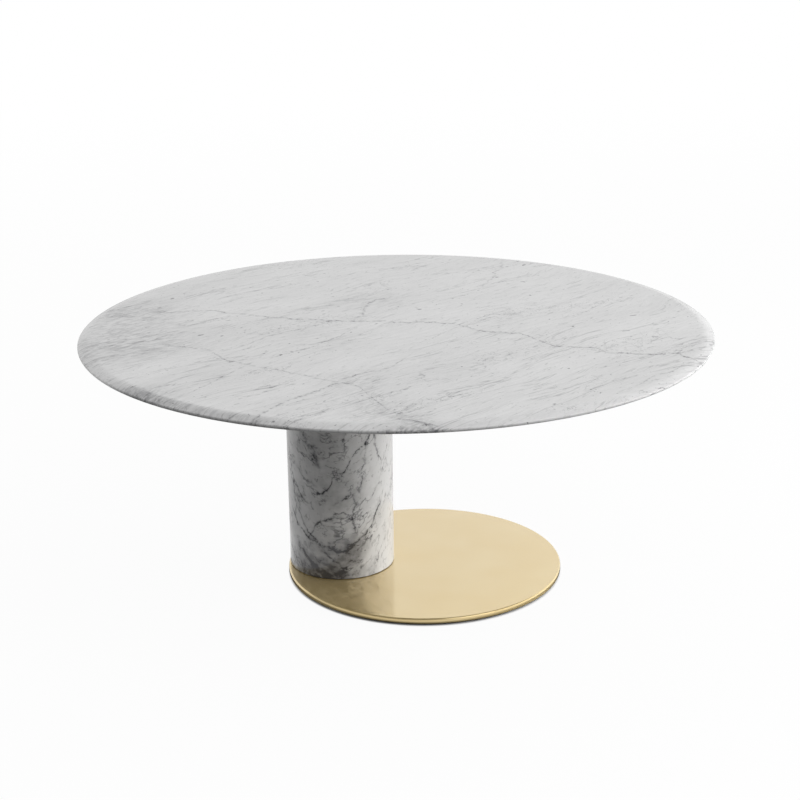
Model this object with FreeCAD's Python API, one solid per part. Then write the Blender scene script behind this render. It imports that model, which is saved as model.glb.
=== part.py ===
import FreeCAD, Part
import collections
import math
import os

# Round cocktail table: a thin-edged marble top on a hollow marble column that stands at the rim of a
# polished brass base. A steel core inside the column carries the load and clamps the stone.
# Millimetres, +Z up. The origin is on the floor below the centre of the top, and +X points from the
# column towards the middle of the base.

# Overall sizes
TABLE_HEIGHT = 420.0
TOP_DIAMETER = 1000.0
COLUMN_DIAMETER = 173.0
BASE_DIAMETER = 452.0
TOP_OFFSET = 94.5  # from the column's axis to the centre of the top
COLUMN_INSET = 2.0  # from the column's face to the rim of the base

# Marble top: a shallow bevel with an eased corner, a small nose that tucks under, a tapered underside
TOP_THICKNESS = 20.0
BEVEL_WIDTH = 14.0  # from the bevel's corner to the rim
BEVEL_ANGLE = 20.0  # degrees below the flat
EASE_RADIUS = 40.0  # rounds the corner where the bevel starts
NOSE_RADIUS = 2.0  # above the widest point
TUCK_RADIUS = 4.0  # below the widest point
UNDERCUT_WIDTH = 80.0

# Steel mounting plate under the top, screwed into threaded bushes that are bonded into the stone
TOP_PLATE_THICKNESS = 8.0
TOP_PLATE_MARGIN = 13.0  # how far the plate reaches past the column
TOP_PLATE_CHAMFER = 1.5
PLATE_SCREW_COUNT = 8
PLATE_SCREW_DIAMETER = 6.0
PLATE_SCREW_HEAD = 12.0
PLATE_SCREW_SOCKET = 4.0  # across the flats of the hexagon socket
PLATE_SCREW_SOCKET_DEPTH = 2.2
PLATE_SCREW_EDGE = 15.0  # from the plate's rim to the screw circle
INSERT_DIAMETER = 10.0
INSERT_LENGTH = 12.0
INSERT_HOLE_EXTRA = 1.0
INSERT_BOND_GAP = 0.2
INSERT_GROOVE_WIDTH = 2.0
INSERT_GROOVE_DEPTH = 0.8

# Steel core: a tube between two flanges
TUBE_DIAMETER = 54.0
TUBE_WALL = 4.0
TUBE_SEAT_DEPTH = 2.0  # the tube's ends stand in shallow seats in the flanges
TUBE_SEAT_CLEARANCE = 0.1
WELD_ROOM = 2.0  # between the tube and the bolts' washers
FLANGE_EDGE = 2.0  # outside the washers
TOP_FLANGE_THICKNESS = 8.0
BOTTOM_FLANGE_THICKNESS = 12.0
FLANGE_CHAMFER = 1.0

# Bolts of the core, six up into the mounting plate and six up through the base
CORE_BOLT_COUNT = 6
CORE_BOLT_DIAMETER = 8.0
CORE_BOLT_HEAD = 13.0
CORE_BOLT_HEAD_HEIGHT = 8.0
CORE_BOLT_HEAD_CHAMFER = 0.8
CORE_BOLT_SOCKET = 6.0
CORE_BOLT_SOCKET_DEPTH = 4.0
WASHER_DIAMETER = 16.0
WASHER_THICKNESS = 1.6
BASE_BOLT_HEAD = 16.0
BASE_BOLT_SOCKET = 5.0
BASE_BOLT_SOCKET_DEPTH = 2.8
BOLT_TIP_MARGIN = 1.0  # a bolt's tip stops this far inside what it screws into
BOLT_TIP_CHAMFER = 0.8
HEAD_SINK = 0.3  # countersunk heads lie this far below the face
HEAD_CLEARANCE = 0.1
HOLE_CLEARANCE = 0.4
THREAD_CLEARANCE = 0.05

# Marble column, its gaskets and the rings that centre it on the core
BORE_CLEARANCE = 2.0  # between the flanges and the column's bore
COLUMN_CHAMFER = 1.0
GASKET_THICKNESS = 1.0
GASKET_SETBACK = 2.0
CLAMP_GAP = 0.5  # left under the core, so that the bolts squeeze the gaskets
RING_HEIGHT = 12.0
RING_CLEARANCE = 0.2
RING_CHAMFER = 2.0
RING_HEAD_GAP = 6.0  # from the upper ring to the bolt heads

# Base: a brass sheet formed over a steel plate, standing on pads
COVER_SHEET = 2.0
COVER_EDGE_RADIUS = 2.5
COVER_LIP_SHARE = 0.9  # how much of the lip's thickness is rounded off
BASE_PLATE_THICKNESS = 8.5
BASE_PLATE_BEVEL = 2.0  # the plate's lower edge, below the brass lip
COVER_CLEARANCE = 0.1
PAD_COUNT = 8
PAD_DIAMETER = 30.0
PAD_THICKNESS = 1.5
PAD_CHAMFER = 0.4
PAD_EDGE = 3.0  # from the pads to the edge of the plate's flat underside

CUT_OVERRUN = 1.0  # cutters run past the faces that they open
FIRST_STEP_SHARE = 0.5  # screws, bolts and pads stand half a step off the X axis, clear of the column

# Heights that the pieces share
PLATE_FOOT_Z = PAD_THICKNESS
COVER_UNDER_Z = PLATE_FOOT_Z + BASE_PLATE_THICKNESS
BASE_TOP_Z = COVER_UNDER_Z + COVER_SHEET
COVER_LIP_Z = PLATE_FOOT_Z + BASE_PLATE_BEVEL
TOP_UNDER_Z = TABLE_HEIGHT - TOP_THICKNESS
TOP_PLATE_Z = TOP_UNDER_Z - TOP_PLATE_THICKNESS
COLUMN_FOOT_Z = BASE_TOP_Z + GASKET_THICKNESS
COLUMN_HEAD_Z = TOP_PLATE_Z - GASKET_THICKNESS
BOTTOM_FLANGE_Z = BASE_TOP_Z + CLAMP_GAP
TUBE_FOOT_Z = BOTTOM_FLANGE_Z + BOTTOM_FLANGE_THICKNESS - TUBE_SEAT_DEPTH
TOP_FLANGE_Z = TOP_PLATE_Z - TOP_FLANGE_THICKNESS
TUBE_HEAD_Z = TOP_FLANGE_Z + TUBE_SEAT_DEPTH

# Radii and places that the pieces share
TOP_RADIUS = TOP_DIAMETER / 2
COLUMN_RADIUS = COLUMN_DIAMETER / 2
BASE_RADIUS = BASE_DIAMETER / 2
TUBE_RADIUS = TUBE_DIAMETER / 2
TOP_PLATE_RADIUS = TOP_OFFSET + COLUMN_RADIUS + TOP_PLATE_MARGIN
PLATE_SCREW_CIRCLE = TOP_PLATE_RADIUS - PLATE_SCREW_EDGE
BOLT_CIRCLE = TUBE_RADIUS + WELD_ROOM + WASHER_DIAMETER / 2
FLANGE_RADIUS = TUBE_RADIUS + WELD_ROOM + WASHER_DIAMETER + FLANGE_EDGE
BORE_RADIUS = FLANGE_RADIUS + BORE_CLEARANCE
COVER_LIP_RADIUS = COVER_SHEET * COVER_LIP_SHARE
BASE_PLATE_RADIUS = BASE_RADIUS - COVER_SHEET - COVER_CLEARANCE
PAD_CIRCLE = BASE_PLATE_RADIUS - BASE_PLATE_BEVEL - PAD_EDGE - PAD_DIAMETER / 2
COLUMN_X = -TOP_OFFSET
BASE_X = COLUMN_X + BASE_RADIUS - COLUMN_RADIUS - COLUMN_INSET

ORIGIN = FreeCAD.Vector(0, 0, 0)
UP = FreeCAD.Vector(0, 0, 1)
FULL_TURN = 360.0
HEXAGON_SIDES = 6

# Steps of a turned outline: a quarter ellipse about a centre, ending at a point, and a circular arc about a
# centre, between two angles that are measured from straight up towards the outside
Bend = collections.namedtuple("Bend", "end centre")
Arc = collections.namedtuple("Arc", "centre radius first last")


def spot(radius, height):
    """A point of a turned outline."""
    return FreeCAD.Vector(radius, 0, height)


def quarter(start, end, centre):
    """A quarter of an ellipse, or of a circle, about a centre."""
    middle = spot(*centre)
    far_first = sorted((spot(*start), spot(*end)), key=lambda point: -(point - middle).Length)
    ellipse = Part.Ellipse(far_first[0], far_first[1], middle)
    return Part.ArcOfEllipse(ellipse, 0, math.pi / 2).toShape()


def arc_point(arc, angle):
    """The point of a circular arc at an angle from straight up."""
    return (arc.centre[0] + arc.radius * math.sin(angle), arc.centre[1] + arc.radius * math.cos(angle))


def turned(*steps):
    """A solid turned about Z from corners (radius, height), bends and arcs, closed by a straight line."""
    here = steps[0]
    edges = []
    for step in steps[1:] + steps[:1]:
        if isinstance(step, Bend):
            edges.append(quarter(here, step.end, step.centre))
            here = step.end
        elif isinstance(step, Arc):
            middle = arc_point(step, (step.first + step.last) / 2)
            end = arc_point(step, step.last)
            edges.append(Part.Arc(spot(*here), spot(*middle), spot(*end)).toShape())
            here = end
        else:
            edges.append(Part.LineSegment(spot(*here), spot(*step)).toShape())
            here = step
    return Part.Face(Part.Wire(edges)).revolve(ORIGIN, UP, FULL_TURN)


def bar(radius, low, high):
    """A plain round bar about Z, used as a cutter."""
    return Part.makeCylinder(radius, high - low, FreeCAD.Vector(0, 0, low), UP)


def ring(inner, outer, low, high, chamfer=0.0):
    """A flat ring about Z, its four corners chamfered or sharp."""
    if not chamfer:
        return turned((inner, low), (outer, low), (outer, high), (inner, high))
    return turned(
        (inner + chamfer, low),
        (outer - chamfer, low),
        (outer, low + chamfer),
        (outer, high - chamfer),
        (outer - chamfer, high),
        (inner + chamfer, high),
        (inner, high - chamfer),
        (inner, low + chamfer),
    )


def disc(radius, low, high, chamfer):
    """A flat disc about Z with both rims chamfered."""
    return turned(
        (0, low),
        (radius - chamfer, low),
        (radius, low + chamfer),
        (radius, high - chamfer),
        (radius - chamfer, high),
        (0, high),
    )


def socket(width, depth):
    """A hexagon prism that rises from just below Z zero to a depth."""
    corner = width / 2 / math.cos(math.pi / HEXAGON_SIDES)
    angles = [2 * math.pi * side / HEXAGON_SIDES for side in range(HEXAGON_SIDES + 1)]
    corners = [FreeCAD.Vector(corner * math.cos(a), corner * math.sin(a), -CUT_OVERRUN) for a in angles]
    return Part.Face(Part.makePolygon(corners)).extrude(UP * (depth + CUT_OVERRUN))


def countersunk_screw(diameter, head, length, socket_width, socket_depth):
    """A countersunk socket screw, its flat head at Z zero and its tip up."""
    shank, rim = diameter / 2, head / 2
    body = turned(
        (0, 0),
        (rim, 0),
        (shank, rim - shank),
        (shank, length - BOLT_TIP_CHAMFER),
        (shank - BOLT_TIP_CHAMFER, length),
        (0, length),
    )
    return body.cut(socket(socket_width, socket_depth))


def countersunk_hole(diameter, head, thickness):
    """A cutter for a countersunk hole up through a plate whose lower face is at Z zero."""
    hole, rim = diameter / 2 + HOLE_CLEARANCE, head / 2 + HEAD_CLEARANCE
    return turned(
        (0, -CUT_OVERRUN),
        (rim, -CUT_OVERRUN),
        (rim, HEAD_SINK),
        (hole, HEAD_SINK + rim - hole),
        (hole, thickness + CUT_OVERRUN),
        (0, thickness + CUT_OVERRUN),
    )


def cap_screw(diameter, head, head_height, length, socket_width, socket_depth):
    """A socket cap screw, the face of its head at Z zero and its tip up."""
    shank, rim, chamfer = diameter / 2, head / 2, CORE_BOLT_HEAD_CHAMFER
    body = turned(
        (0, 0),
        (rim - chamfer, 0),
        (rim, chamfer),
        (rim, head_height),
        (shank, head_height),
        (shank, head_height + length - BOLT_TIP_CHAMFER),
        (shank - BOLT_TIP_CHAMFER, head_height + length),
        (0, head_height + length),
    )
    return body.cut(socket(socket_width, socket_depth))


def around(shape, count, circle, centre_x, lift=0.0):
    """Copies of a shape on a circle, the first one a share of a step off the X axis."""
    angles = [2 * math.pi * (number + FIRST_STEP_SHARE) / count for number in range(count)]
    spots = [
        FreeCAD.Vector(centre_x + circle * math.cos(angle), circle * math.sin(angle), lift)
        for angle in angles
    ]
    return [shape.translated(place) for place in spots]


def at_column(shape):
    """A shape moved from Z to the column's axis."""
    return shape.translated(FreeCAD.Vector(COLUMN_X, 0, 0))


def at_base(shape):
    """A shape moved from Z to the base's axis."""
    return shape.translated(FreeCAD.Vector(BASE_X, 0, 0))


def on_screw_circle(shape, lift=0.0):
    """Copies of a shape at the mounting plate's screws."""
    return around(shape, PLATE_SCREW_COUNT, PLATE_SCREW_CIRCLE, 0, lift)


def on_bolt_circle(shape, lift=0.0):
    """Copies of a shape at the core's bolts."""
    return around(shape, CORE_BOLT_COUNT, BOLT_CIRCLE, COLUMN_X, lift)


def table_top():
    """The marble slab, with blind holes for the bushes."""
    slope = math.radians(BEVEL_ANGLE)
    corner = TOP_RADIUS - BEVEL_WIDTH
    flat = corner - EASE_RADIUS * math.tan(slope / 2)
    nose, tuck = TOP_RADIUS - NOSE_RADIUS, TOP_RADIUS - TUCK_RADIUS
    bevel_end = nose + NOSE_RADIUS * math.sin(slope)
    bevel_foot = TABLE_HEIGHT - (bevel_end - corner) * math.tan(slope)
    nose_z = bevel_foot - NOSE_RADIUS * math.cos(slope)
    slab = turned(
        (0, TABLE_HEIGHT),
        (flat, TABLE_HEIGHT),
        Arc((flat, TABLE_HEIGHT - EASE_RADIUS), EASE_RADIUS, 0, slope),
        (bevel_end, bevel_foot),
        Arc((nose, nose_z), NOSE_RADIUS, slope, math.pi / 2),
        Bend((tuck, nose_z - TUCK_RADIUS), (tuck, nose_z)),
        (tuck - UNDERCUT_WIDTH, TOP_UNDER_Z),
        (0, TOP_UNDER_Z),
    )
    hole_head = TOP_UNDER_Z + INSERT_LENGTH + INSERT_HOLE_EXTRA
    hole = bar(INSERT_DIAMETER / 2 + INSERT_BOND_GAP, TOP_UNDER_Z - CUT_OVERRUN, hole_head)
    return [slab.cut(on_screw_circle(hole))]


def top_inserts():
    """Brass bushes with a bonding groove and a threaded bore."""
    bore = PLATE_SCREW_DIAMETER / 2 + THREAD_CLEARANCE
    outer = INSERT_DIAMETER / 2
    groove = outer - INSERT_GROOVE_DEPTH
    groove_foot = (INSERT_LENGTH - INSERT_GROOVE_WIDTH) / 2
    groove_head = groove_foot + INSERT_GROOVE_WIDTH
    bush = turned(
        (bore, 0),
        (outer, 0),
        (outer, groove_foot),
        (groove, groove_foot),
        (groove, groove_head),
        (outer, groove_head),
        (outer, INSERT_LENGTH),
        (bore, INSERT_LENGTH),
    )
    return on_screw_circle(bush, TOP_UNDER_Z)


def top_plate():
    """The steel disc that spreads the load, countersunk for its screws and tapped for the core's bolts."""
    plate = turned(
        (0, TOP_PLATE_Z),
        (TOP_PLATE_RADIUS - TOP_PLATE_CHAMFER, TOP_PLATE_Z),
        (TOP_PLATE_RADIUS, TOP_PLATE_Z + TOP_PLATE_CHAMFER),
        (TOP_PLATE_RADIUS, TOP_UNDER_Z),
        (0, TOP_UNDER_Z),
    )
    screw_hole = countersunk_hole(PLATE_SCREW_DIAMETER, PLATE_SCREW_HEAD, TOP_PLATE_THICKNESS)
    thread_radius = CORE_BOLT_DIAMETER / 2 + THREAD_CLEARANCE
    thread = bar(thread_radius, TOP_PLATE_Z - CUT_OVERRUN, TOP_UNDER_Z + CUT_OVERRUN)
    return [plate.cut(on_screw_circle(screw_hole, TOP_PLATE_Z) + on_bolt_circle(thread))]


def top_plate_screws():
    """Countersunk screws from the plate into the bushes."""
    head_z = TOP_PLATE_Z + HEAD_SINK
    length = TOP_UNDER_Z + INSERT_LENGTH - BOLT_TIP_MARGIN - head_z
    screw = countersunk_screw(
        PLATE_SCREW_DIAMETER, PLATE_SCREW_HEAD, length, PLATE_SCREW_SOCKET, PLATE_SCREW_SOCKET_DEPTH
    )
    return on_screw_circle(screw, head_z)


def flange(low, thickness, seat_low, hole_radius):
    """A flange of the core with its bolt holes and a seat for the tube."""
    high = low + thickness
    body = at_column(disc(FLANGE_RADIUS, low, high, FLANGE_CHAMFER))
    seat_inner = TUBE_RADIUS - TUBE_WALL - TUBE_SEAT_CLEARANCE
    seat_outer = TUBE_RADIUS + TUBE_SEAT_CLEARANCE
    seat = at_column(ring(seat_inner, seat_outer, seat_low, seat_low + TUBE_SEAT_DEPTH))
    hole = bar(hole_radius, low - CUT_OVERRUN, high + CUT_OVERRUN)
    return [body.cut([seat] + on_bolt_circle(hole))]


def core_top_flange():
    """The flange that bolts up against the mounting plate."""
    return flange(TOP_FLANGE_Z, TOP_FLANGE_THICKNESS, TOP_FLANGE_Z, CORE_BOLT_DIAMETER / 2 + HOLE_CLEARANCE)


def core_bottom_flange():
    """The tapped flange that the base is bolted to."""
    return flange(
        BOTTOM_FLANGE_Z, BOTTOM_FLANGE_THICKNESS, TUBE_FOOT_Z, CORE_BOLT_DIAMETER / 2 + THREAD_CLEARANCE
    )


def core_tube():
    """The steel tube that carries the top."""
    return [at_column(ring(TUBE_RADIUS - TUBE_WALL, TUBE_RADIUS, TUBE_FOOT_Z, TUBE_HEAD_Z))]


def core_washers():
    """Washers under the heads of the core's bolts."""
    hole = CORE_BOLT_DIAMETER / 2 + HOLE_CLEARANCE
    washer = ring(hole, WASHER_DIAMETER / 2, -WASHER_THICKNESS, 0)
    return on_bolt_circle(washer, TOP_FLANGE_Z)


def core_bolts():
    """Cap screws up through the top flange into the mounting plate."""
    seat_z = TOP_FLANGE_Z - WASHER_THICKNESS
    length = TOP_UNDER_Z - BOLT_TIP_MARGIN - seat_z
    bolt = cap_screw(
        CORE_BOLT_DIAMETER,
        CORE_BOLT_HEAD,
        CORE_BOLT_HEAD_HEIGHT,
        length,
        CORE_BOLT_SOCKET,
        CORE_BOLT_SOCKET_DEPTH,
    )
    return on_bolt_circle(bolt, seat_z - CORE_BOLT_HEAD_HEIGHT)


def column_shell():
    """The marble column, bored right through for the core."""
    return [at_column(ring(BORE_RADIUS, COLUMN_RADIUS, COLUMN_FOOT_Z, COLUMN_HEAD_Z, COLUMN_CHAMFER))]


def gasket(low):
    """A thin ring between the column's end and the metal."""
    inner, outer = BORE_RADIUS + GASKET_SETBACK, COLUMN_RADIUS - GASKET_SETBACK
    return [at_column(ring(inner, outer, low, low + GASKET_THICKNESS))]


def column_top_gasket():
    """The ring between the column and the mounting plate."""
    return gasket(COLUMN_HEAD_Z)


def column_bottom_gasket():
    """The ring between the column and the brass."""
    return gasket(BASE_TOP_Z)


def centring_ring(low):
    """A nylon ring that holds the column true on the tube."""
    inner, outer = TUBE_RADIUS + RING_CLEARANCE, BORE_RADIUS - RING_CLEARANCE
    return [at_column(ring(inner, outer, low, low + RING_HEIGHT, RING_CHAMFER))]


def upper_centring_ring():
    """The ring below the bolt heads."""
    head_z = TOP_FLANGE_Z - WASHER_THICKNESS - CORE_BOLT_HEAD_HEIGHT
    return centring_ring(head_z - RING_HEAD_GAP - RING_HEIGHT)


def lower_centring_ring():
    """The ring that lies on the bottom flange."""
    return centring_ring(BOTTOM_FLANGE_Z + BOTTOM_FLANGE_THICKNESS)


def base_cover():
    """The brass sheet, rolled down round the plate's edge, with holes for the bolts."""
    inner = BASE_RADIUS - COVER_SHEET
    edge_centre = (BASE_RADIUS - COVER_EDGE_RADIUS, BASE_TOP_Z - COVER_EDGE_RADIUS)
    lip_centre = (BASE_RADIUS - COVER_LIP_RADIUS, COVER_LIP_Z + COVER_LIP_RADIUS)
    pan = turned(
        (0, BASE_TOP_Z),
        (edge_centre[0], BASE_TOP_Z),
        Bend((BASE_RADIUS, edge_centre[1]), edge_centre),
        (BASE_RADIUS, lip_centre[1]),
        Bend((lip_centre[0], COVER_LIP_Z), lip_centre),
        (inner, COVER_LIP_Z),
        (inner, COVER_UNDER_Z),
        (0, COVER_UNDER_Z),
    )
    hole_radius = CORE_BOLT_DIAMETER / 2 + HOLE_CLEARANCE
    hole = bar(hole_radius, COVER_UNDER_Z - CUT_OVERRUN, BASE_TOP_Z + CUT_OVERRUN)
    return [at_base(pan).cut(on_bolt_circle(hole))]


def base_plate():
    """The steel plate inside the brass, bevelled below the lip and countersunk for the bolts."""
    plate = turned(
        (0, PLATE_FOOT_Z),
        (BASE_PLATE_RADIUS - BASE_PLATE_BEVEL, PLATE_FOOT_Z),
        (BASE_PLATE_RADIUS, COVER_LIP_Z),
        (BASE_PLATE_RADIUS, COVER_UNDER_Z),
        (0, COVER_UNDER_Z),
    )
    hole = countersunk_hole(CORE_BOLT_DIAMETER, BASE_BOLT_HEAD, BASE_PLATE_THICKNESS)
    return [at_base(plate).cut(on_bolt_circle(hole, PLATE_FOOT_Z))]


def base_bolts():
    """Countersunk bolts up through the base into the bottom flange."""
    head_z = PLATE_FOOT_Z + HEAD_SINK
    length = BOTTOM_FLANGE_Z + BOTTOM_FLANGE_THICKNESS - BOLT_TIP_MARGIN - head_z
    bolt = countersunk_screw(
        CORE_BOLT_DIAMETER, BASE_BOLT_HEAD, length, BASE_BOLT_SOCKET, BASE_BOLT_SOCKET_DEPTH
    )
    return on_bolt_circle(bolt, head_z)


def floor_pads():
    """Round pads that keep the metal off the floor."""
    pad = turned(
        (0, 0),
        (PAD_DIAMETER / 2 - PAD_CHAMFER, 0),
        (PAD_DIAMETER / 2, PAD_CHAMFER),
        (PAD_DIAMETER / 2, PAD_THICKNESS),
        (0, PAD_THICKNESS),
    )
    return around(pad, PAD_COUNT, PAD_CIRCLE, BASE_X)


PIECES = (
    table_top,
    top_inserts,
    top_plate,
    top_plate_screws,
    core_top_flange,
    core_washers,
    core_bolts,
    core_tube,
    core_bottom_flange,
    upper_centring_ring,
    lower_centring_ring,
    column_shell,
    column_top_gasket,
    column_bottom_gasket,
    base_cover,
    base_plate,
    base_bolts,
    floor_pads,
)

os.makedirs("parts", exist_ok=True)
for piece in PIECES:
    solids = [solid for made in piece() for solid in made.Solids]
    Part.makeCompound(solids).exportStep(f"parts/{piece.__name__}.step")
    volume = sum(solid.Volume for solid in solids)
    print(f"{piece.__name__}: {len(solids)} solids, {volume:.0f} mm3")
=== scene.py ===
# %% [markdown]
# # A round cocktail table
# The table has a marble top with a thin bevelled edge, a marble column that stands to one side of it, and a
# low disc of polished brass on the floor. A steel core inside the column holds it together.
# The CAD model gives every size. This lesson builds the stone, the brass and the felt again as smooth
# surfaces, and gives every piece the finish that its real material has.

# %% Load the CAD model
import math

import bmesh
import bpy
import numpy as np
from mathutils import Matrix, Vector


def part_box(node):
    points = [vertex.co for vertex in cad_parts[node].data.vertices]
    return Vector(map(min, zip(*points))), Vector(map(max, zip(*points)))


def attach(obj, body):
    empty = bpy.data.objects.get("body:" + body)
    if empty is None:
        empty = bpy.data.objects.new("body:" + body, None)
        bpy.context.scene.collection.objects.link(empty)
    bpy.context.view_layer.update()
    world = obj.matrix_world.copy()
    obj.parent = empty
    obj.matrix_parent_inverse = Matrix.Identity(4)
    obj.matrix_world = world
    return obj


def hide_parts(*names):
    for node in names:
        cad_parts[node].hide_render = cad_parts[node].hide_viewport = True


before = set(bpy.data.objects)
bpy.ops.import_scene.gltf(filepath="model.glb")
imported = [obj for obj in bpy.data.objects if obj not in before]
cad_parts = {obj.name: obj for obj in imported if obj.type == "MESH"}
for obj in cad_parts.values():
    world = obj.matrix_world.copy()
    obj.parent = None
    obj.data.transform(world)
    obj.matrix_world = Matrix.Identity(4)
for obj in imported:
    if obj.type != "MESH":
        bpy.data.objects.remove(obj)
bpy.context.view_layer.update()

MM = 0.001  # the scene is in metres, and most sizes below are in millimetres
print("pieces in the CAD model:", len(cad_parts))

# %% [markdown]
# ## The camera
# The picture was taken with a lens a little longer than normal, from the height of a standing person's chest.
# The camera could be set by eye, but small errors show in every outline, so it was fitted to the outlines of
# the top, the column and the base. It is turned a little to the left, tilted down, and held almost level.

# %% Set up the camera
CAMERA_PLACE = (0.1529, -2.4705, 1.1094)
CAMERA_TURN = math.radians(3.426)
CAMERA_TILT = math.radians(18.272)
CAMERA_ROLL = math.radians(0.647)
LENS_MM = 72.455
SENSOR_MM = 36.0
LEVEL = math.radians(90)  # a camera with no turn looks straight down

camera = bpy.data.objects.new("camera", bpy.data.cameras.new("camera"))
camera.data.lens = LENS_MM
camera.data.sensor_width = SENSOR_MM
camera.matrix_world = (
    Matrix.Translation(CAMERA_PLACE)
    @ Matrix.Rotation(CAMERA_TURN, 4, "Z")
    @ Matrix.Rotation(LEVEL - CAMERA_TILT, 4, "X")
    @ Matrix.Rotation(-CAMERA_ROLL, 4, "Z")
)
bpy.context.scene.collection.objects.link(camera)
bpy.context.scene.camera = camera
print("lens in mm:", LENS_MM, "camera height in m:", CAMERA_PLACE[2])

# %% [markdown]
# ## Turned surfaces
# The top, the column and the base are all round, so each one is a profile carried once round an axis, as on a
# lathe. A profile is a list of (radius, height) points. It is joined from straight runs, quarter bends and
# arcs of circles, and it is worked out as whole arrays, so a change of size needs no new modelling.

# %% Tools for profiles
QUARTER_TURN = math.pi / 2
FULL_TURN = 2 * math.pi
NEAREST_RING = 0.002  # how near a disc's last ring comes to its rim, as a share of the radius


def run(start, end, count):
    """Evenly spaced points on the straight line from start to end, with the end left out."""
    return np.linspace(start, end, count, endpoint=False)


def bend(start, end, centre, count):
    """A quarter ellipse from start to end: the centre, plus the first half axis times the cosine of an angle
    that goes from 0 to 90 degrees, plus the second half axis times its sine. The end is left out."""
    angle = np.linspace(0, QUARTER_TURN, count, endpoint=False)[:, None]
    first = np.subtract(start, centre)
    second = np.subtract(end, centre)
    return centre + first * np.cos(angle) + second * np.sin(angle)


def arc_run(centre, radius, first, last, count):
    """An arc of a circle: the centre, plus the radius times the sine and the cosine of a lean that goes from
    the first value to the last. The lean is measured from straight up, outwards. The end is left out."""
    lean = np.linspace(first, last, count, endpoint=False)[:, None]
    return centre + radius * np.concatenate((np.sin(lean), np.cos(lean)), axis=1)


def disc_run(rim, height, count):
    """Points from the axis out to near a rim. The distance that is left to the rim shrinks by the same share
    from one point to the next, so the rings crowd where the surface starts to bend."""
    radius = rim * (1 - np.geomspace(1, NEAREST_RING, count))
    return np.stack((radius, np.full(count, height)), axis=1)


print("share of the radius that a disc's last ring leaves:", NEAREST_RING)

# %% Tools for lathe surfaces
MERGE_DISTANCE = 0.001 * MM
SHARP_ANGLE = math.radians(35)


def turned(name, profile, axes, sides, closed=False):
    """A lathe surface about each upright axis (x, y): a profile point (r, z) turned by the angle t lies at
    (x + r cos t, y + r sin t, z). An open profile starts and ends on the axis; a closed one makes a ring."""
    points = np.concatenate(profile)
    count = len(points)
    radius = points[:, :1]
    height = points[:, 1:]
    turn = np.linspace(0, FULL_TURN, sides, endpoint=False)
    x, y = np.array(axes).T[:, :, None, None]
    grid = np.broadcast_arrays(x + radius * np.cos(turn), y + radius * np.sin(turn), height)
    rings = count if closed else count - 1
    body, ring, side = np.mgrid[0 : len(axes), 0:rings, 0:sides]
    next_ring = (ring + 1) % count
    next_side = (side + 1) % sides
    corners = ((ring, side), (next_ring, side), (next_ring, next_side), (ring, next_side))
    faces = np.stack([(body * count + r) * sides + s for r, s in corners], axis=-1).reshape(-1, 4)
    mesh = bpy.data.meshes.new(name)
    mesh.from_pydata(np.stack(grid, axis=-1).reshape(-1, 3), [], faces.tolist())
    return finished(name, mesh)


def finished(name, mesh):
    """An object from a mesh: its poles are merged, its faces point outwards, and its bends shade smoothly."""
    work = bmesh.new()
    work.from_mesh(mesh)
    bmesh.ops.remove_doubles(work, verts=work.verts, dist=MERGE_DISTANCE)
    bmesh.ops.recalc_face_normals(work, faces=work.faces)
    work.to_mesh(mesh)
    work.free()
    mesh.shade_smooth()
    mesh.set_sharp_from_angle(angle=SHARP_ANGLE)
    piece = bpy.data.objects.new(name, mesh)
    bpy.context.scene.collection.objects.link(piece)
    print(f"{name}: {len(mesh.vertices)} points, {len(mesh.polygons)} faces")
    return piece


print("edges stay sharp from this angle in degrees:", round(math.degrees(SHARP_ANGLE)))

# %% [markdown]
# ## The marble top
# The slab is 20 mm thick, but it looks thinner: a shallow bevel runs round its upper edge, a small nose turns
# under, and the underside tapers back out of sight. A mason rubs the corner where the bevel starts, so it is
# eased over a few millimetres. A bevel modifier could cut one corner, but not this whole edge, so the edge is
# part of the profile: from the middle of the upper face, round the edge, to the middle of the underside.

# %% Sizes of the edge
BEVEL_WIDTH = 14 * MM
BEVEL_ANGLE = math.radians(20)
EASE_RADIUS = 40 * MM
NOSE_RADIUS = 2 * MM
TUCK_RADIUS = 4 * MM
UNDERCUT_WIDTH = 80 * MM

top_low, top_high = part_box("table_top")
top_radius = top_high.x
bevel_rim = top_radius - BEVEL_WIDTH
nose_rim = top_radius - NOSE_RADIUS
tuck_rim = top_radius - TUCK_RADIUS
under_rim = tuck_rim - UNDERCUT_WIDTH
bevel_end = nose_rim + NOSE_RADIUS * math.sin(BEVEL_ANGLE)
bevel_foot = top_high.z - (bevel_end - bevel_rim) * math.tan(BEVEL_ANGLE)
nose_middle = bevel_foot - NOSE_RADIUS * math.cos(BEVEL_ANGLE)
nose_foot = nose_middle - TUCK_RADIUS
ease = EASE_RADIUS * math.tan(BEVEL_ANGLE / 2)
flat_rim = bevel_rim - ease
ease_end = (bevel_rim + ease * math.cos(BEVEL_ANGLE), top_high.z - ease * math.sin(BEVEL_ANGLE))
print("height of the edge in mm:", round((top_high.z - nose_foot) / MM, 1))

# %% Turn the marble top
TOP_SIDES = 360
FACE_RINGS = 20
EASE_RINGS = 8
BEVEL_RINGS = 6
NOSE_RINGS = 12
TAPER_RINGS = 8
UNDER_RINGS = 10

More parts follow.
